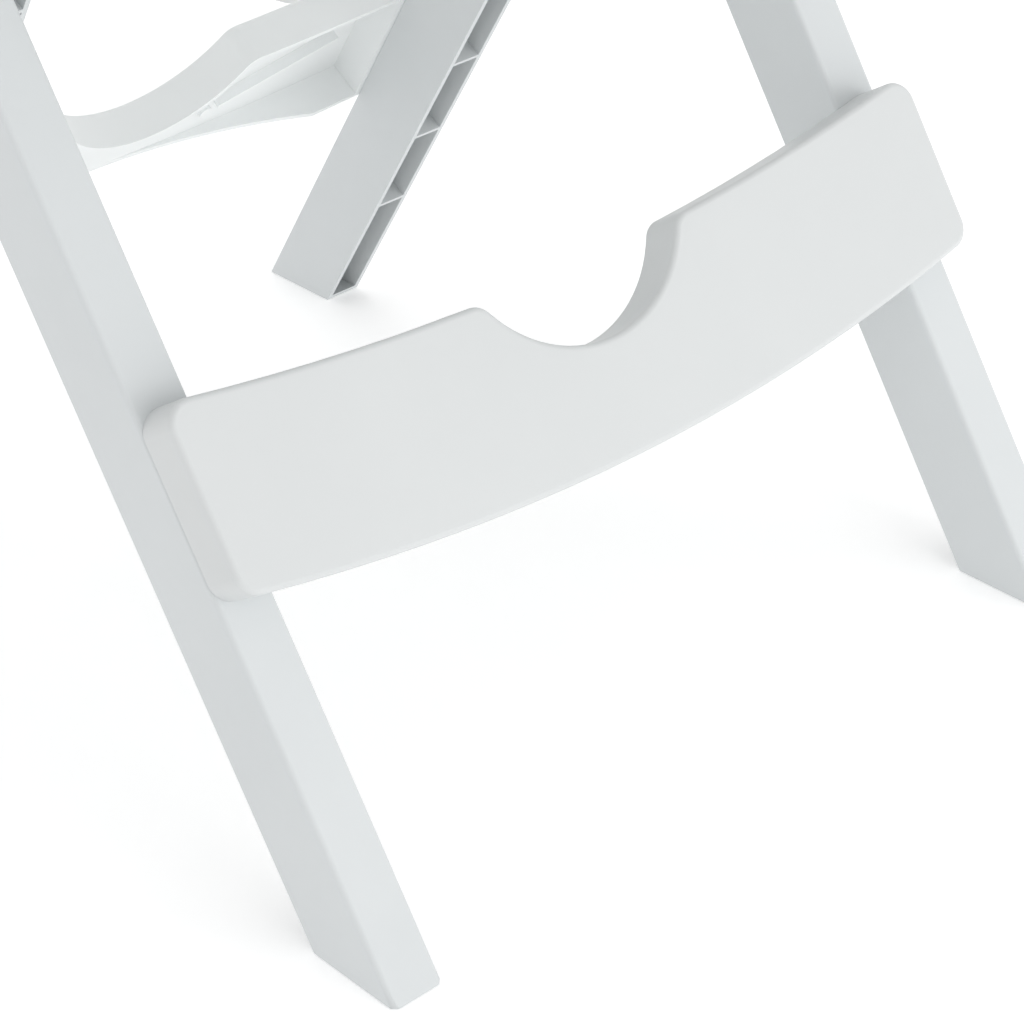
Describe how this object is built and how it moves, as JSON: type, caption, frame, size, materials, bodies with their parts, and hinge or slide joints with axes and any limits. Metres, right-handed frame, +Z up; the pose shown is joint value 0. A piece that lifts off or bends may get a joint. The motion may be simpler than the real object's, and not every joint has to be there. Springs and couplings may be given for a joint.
{
  "type": "reclining sun lounger",
  "caption": "White moulded-plastic folding lounger with crossed legs, hand-grip crossboards, slatted seat, ratchet back and armrests.",
  "frame": {"origin": "under the middle of the box at floor level", "axes": "+X to the right as seen from the front, +Y to the back, +Z up"},
  "size_m": [0.5084, 0.779, 1.1142],
  "materials": {
    "white_plastic": "moulded polypropylene, fine satin",
    "steel_pins": "turned, zinc plated"
  },
  "bodies": {
    "front_frame": {"front_leg_left": "white_plastic", "front_leg_right": "white_plastic", "front_crossboard": "white_plastic", "front_board_screws": "steel_pins", "leg_pivot_pins": "steel_pins", "leg_pivot_caps": "white_plastic", "leg_spacers": "white_plastic", "seat_washers": "white_plastic"},
    "rear_frame": {"rear_leg_left": "white_plastic", "rear_leg_right": "white_plastic", "rear_crossboard": "white_plastic", "rear_board_screws": "steel_pins", "seat_stop_studs": "steel_pins", "arm_pivot_pins": "steel_pins"},
    "seat": {"seat_rail_left": "white_plastic", "seat_rail_right": "white_plastic", "seat_front_bar": "white_plastic", "seat_rear_bar": "white_plastic", "seat_slat_1": "white_plastic", "seat_slat_2": "white_plastic", "seat_slat_3": "white_plastic", "seat_slat_4": "white_plastic", "seat_slat_5": "white_plastic", "seat_slat_6": "white_plastic", "seat_slat_7": "white_plastic", "back_hinge_pins": "steel_pins", "ratchet_discs": "white_plastic"},
    "back": {"back_rail_left": "white_plastic", "back_rail_right": "white_plastic", "back_foot_bar": "white_plastic", "back_head_bar": "white_plastic", "back_slat_1": "white_plastic", "back_slat_2": "white_plastic", "back_slat_3": "white_plastic", "back_slat_4": "white_plastic", "back_slat_5": "white_plastic", "back_slat_6": "white_plastic", "back_slat_7": "white_plastic", "back_slat_8": "white_plastic", "back_slat_9": "white_plastic", "back_slat_10": "white_plastic"},
    "arm_left": {"armrest_left": "white_plastic"},
    "arm_right": {"armrest_right": "white_plastic"}
  },
  "joints": [
    {"name": "leg_fold", "type": "hinge", "parent": "front_frame", "child": "rear_frame", "pos_m": [0, -0.08148, 0.44324], "axis": [-1, 0, 0], "range_deg": [0, 65.74]},
    {"name": "seat_fold", "type": "hinge", "parent": "front_frame", "child": "seat", "pos_m": [0, -0.08148, 0.44324], "axis": [1, 0, 0], "range_deg": [0, 63.88]},
    {"name": "arm_left_fold", "type": "hinge", "parent": "rear_frame", "child": "arm_left", "pos_m": [0, -0.18597, 0.6005], "axis": [1, 0, 0], "range_deg": [0, 123.62]},
    {"name": "arm_right_fold", "type": "hinge", "parent": "rear_frame", "child": "arm_right", "pos_m": [0, -0.18597, 0.6005], "axis": [1, 0, 0], "range_deg": [0, 123.62]},
    {"name": "back_hinge", "type": "hinge", "parent": "seat", "child": "back", "pos_m": [0, 0.15059, 0.48923], "axis": [1, 0, 0], "range_deg": [-40, 104]}
  ],
  "couplings": [
    {"joint": "seat_fold", "follows": "leg_fold", "ratio": 0.9714},
    {"joint": "arm_left_fold", "follows": "leg_fold", "ratio": 1.8801},
    {"joint": "arm_right_fold", "follows": "leg_fold", "ratio": 1.8801}
  ]
}
